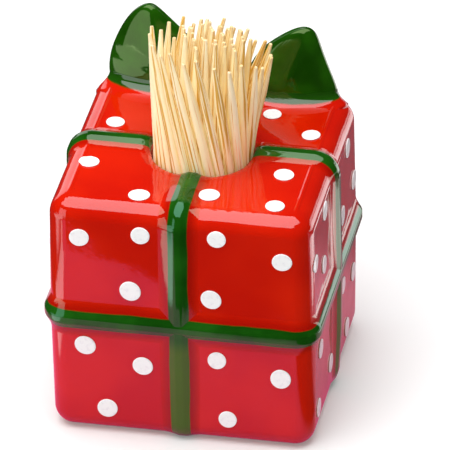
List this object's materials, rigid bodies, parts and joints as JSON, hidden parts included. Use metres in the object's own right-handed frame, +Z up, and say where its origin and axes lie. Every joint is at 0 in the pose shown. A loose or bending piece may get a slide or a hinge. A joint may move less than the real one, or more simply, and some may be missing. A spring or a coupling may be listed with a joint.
{
  "type": "toothpick holder",
  "caption": "Glazed earthenware toothpick holder shaped as a red wrapped present with white dots, a green ribbon and bow, and a round mouth full of wooden toothpicks.",
  "frame": {"origin": "centre of the footprint, on the table, with all toothpicks down", "axes": "+X to the right of the front face, +Y to the back, where the bow stands, +Z up"},
  "size_m": [0.056, 0.0546, 0.0812],
  "materials": {
    "red_glaze": "glossy",
    "green_glaze": "glossy",
    "white_enamel": "glossy",
    "bare_foot": "glossy inside the well, bare on the foot",
    "birch": "matt"
  },
  "bodies": {
    "holder": {"box_shell": "red_glaze", "base": "bare_foot", "belt_ribbon": "green_glaze", "ribbon_front": "green_glaze", "ribbon_back": "green_glaze", "ribbon_left": "green_glaze", "ribbon_right": "green_glaze", "bow_loop_left": "green_glaze", "bow_loop_right": "green_glaze", "bow_knot": "green_glaze", "dots_front": "white_enamel", "dots_back": "white_enamel", "dots_left": "white_enamel", "dots_right": "white_enamel", "dots_top": "white_enamel"},
    "bunch": {"picks_core": "birch", "picks_middle_ring": "birch", "picks_outer_ring": "birch"},
    "toothpick_1": {"pick_1": "birch"},
    "toothpick_2": {"pick_2": "birch"},
    "toothpick_3": {"pick_3": "birch"},
    "toothpick_4": {"pick_4": "birch"},
    "toothpick_5": {"pick_5": "birch"},
    "toothpick_6": {"pick_6": "birch"},
    "toothpick_7": {"pick_7": "birch"},
    "toothpick_8": {"pick_8": "birch"},
    "toothpick_9": {"pick_9": "birch"},
    "toothpick_10": {"pick_10": "birch"},
    "toothpick_11": {"pick_11": "birch"},
    "toothpick_12": {"pick_12": "birch"},
    "toothpick_13": {"pick_13": "birch"},
    "toothpick_14": {"pick_14": "birch"},
    "toothpick_15": {"pick_15": "birch"},
    "toothpick_16": {"pick_16": "birch"},
    "toothpick_17": {"pick_17": "birch"},
    "toothpick_18": {"pick_18": "birch"},
    "toothpick_19": {"pick_19": "birch"},
    "toothpick_20": {"pick_20": "birch"},
    "toothpick_21": {"pick_21": "birch"},
    "toothpick_22": {"pick_22": "birch"},
    "toothpick_23": {"pick_23": "birch"},
    "toothpick_24": {"pick_24": "birch"},
    "toothpick_25": {"pick_25": "birch"},
    "toothpick_26": {"pick_26": "birch"}
  },
  "joints": [
    {"name": "bunch_lift", "type": "slide", "parent": "holder", "child": "bunch", "axis": [0.0847, 0, 0.9964], "range_m": [0, 0.045]},
    {"name": "lift_1", "type": "slide", "parent": "holder", "child": "toothpick_1", "axis": [0.1689, -0.2463, 0.9544], "range_m": [0, 0.045]},
    {"name": "lift_2", "type": "slide", "parent": "holder", "child": "toothpick_2", "axis": [0.2383, -0.2061, 0.9491], "range_m": [0, 0.045]},
    {"name": "lift_3", "type": "slide", "parent": "holder", "child": "toothpick_3", "axis": [0.2725, -0.1672, 0.9475], "range_m": [0, 0.045]},
    {"name": "lift_4", "type": "slide", "parent": "holder", "child": "toothpick_4", "axis": [0.3036, -0.1276, 0.9442], "range_m": [0, 0.045]},
    {"name": "lift_5", "type": "slide", "parent": "holder", "child": "toothpick_5", "axis": [0.3305, -0.0529, 0.9423], "range_m": [0, 0.045]},
    {"name": "lift_6", "type": "slide", "parent": "holder", "child": "toothpick_6", "axis": [0.3387, -0.0027, 0.9409], "range_m": [0, 0.045]},
    {"name": "lift_7", "type": "slide", "parent": "holder", "child": "toothpick_7", "axis": [0.3308, 0.0483, 0.9425], "range_m": [0, 0.045]},
    {"name": "lift_8", "type": "slide", "parent": "holder", "child": "toothpick_8", "axis": [0.3038, 0.1225, 0.9448], "range_m": [0, 0.045]},
    {"name": "lift_9", "type": "slide", "parent": "holder", "child": "toothpick_9", "axis": [0.2783, 0.1664, 0.946], "range_m": [0, 0.045]},
    {"name": "lift_10", "type": "slide", "parent": "holder", "child": "toothpick_10", "axis": [0.2188, 0.2195, 0.9508], "range_m": [0, 0.045]},
    {"name": "lift_11", "type": "slide", "parent": "holder", "child": "toothpick_11", "axis": [0.1746, 0.2459, 0.9534], "range_m": [0, 0.045]},
    {"name": "lift_12", "type": "slide", "parent": "holder", "child": "toothpick_12", "axis": [0.1236, 0.2571, 0.9585], "range_m": [0, 0.045]},
    {"name": "lift_13", "type": "slide", "parent": "holder", "child": "toothpick_13", "axis": [0.0434, 0.2585, 0.965], "range_m": [0, 0.045]},
    {"name": "lift_14", "type": "slide", "parent": "holder", "child": "toothpick_14", "axis": [-0.0078, 0.2499, 0.9683], "range_m": [0, 0.045]},
    {"name": "lift_15", "type": "slide", "parent": "holder", "child": "toothpick_15", "axis": [-0.08, 0.2114, 0.9741], "range_m": [0, 0.045]},
    {"name": "lift_16", "type": "slide", "parent": "holder", "child": "toothpick_16", "axis": [-0.116, 0.1722, 0.9782], "range_m": [0, 0.045]},
    {"name": "lift_17", "type": "slide", "parent": "holder", "child": "toothpick_17", "axis": [-0.1493, 0.1317, 0.98], "range_m": [0, 0.045]},
    {"name": "lift_18", "type": "slide", "parent": "holder", "child": "toothpick_18", "axis": [-0.1781, 0.0543, 0.9825], "range_m": [0, 0.045]},
    {"name": "lift_19", "type": "slide", "parent": "holder", "child": "toothpick_19", "axis": [-0.187, 0.0019, 0.9824], "range_m": [0, 0.045]},
    {"name": "lift_20", "type": "slide", "parent": "holder", "child": "toothpick_20", "axis": [-0.178, -0.0514, 0.9827], "range_m": [0, 0.045]},
    {"name": "lift_21", "type": "slide", "parent": "holder", "child": "toothpick_21", "axis": [-0.1485, -0.1282, 0.9806], "range_m": [0, 0.045]},
    {"name": "lift_22", "type": "slide", "parent": "holder", "child": "toothpick_22", "axis": [-0.1211, -0.1729, 0.9775], "range_m": [0, 0.045]},
    {"name": "lift_23", "type": "slide", "parent": "holder", "child": "toothpick_23", "axis": [-0.0579, -0.2254, 0.9726], "range_m": [0, 0.045]},
    {"name": "lift_24", "type": "slide", "parent": "holder", "child": "toothpick_24", "axis": [-0.0084, -0.2439, 0.9698], "range_m": [0, 0.045]},
    {"name": "lift_25", "type": "slide", "parent": "holder", "child": "toothpick_25", "axis": [0.0405, -0.2593, 0.9649], "range_m": [0, 0.045]},
    {"name": "lift_26", "type": "slide", "parent": "holder", "child": "toothpick_26", "axis": [0.1209, -0.2571, 0.9588], "range_m": [0, 0.045]}
  ]
}
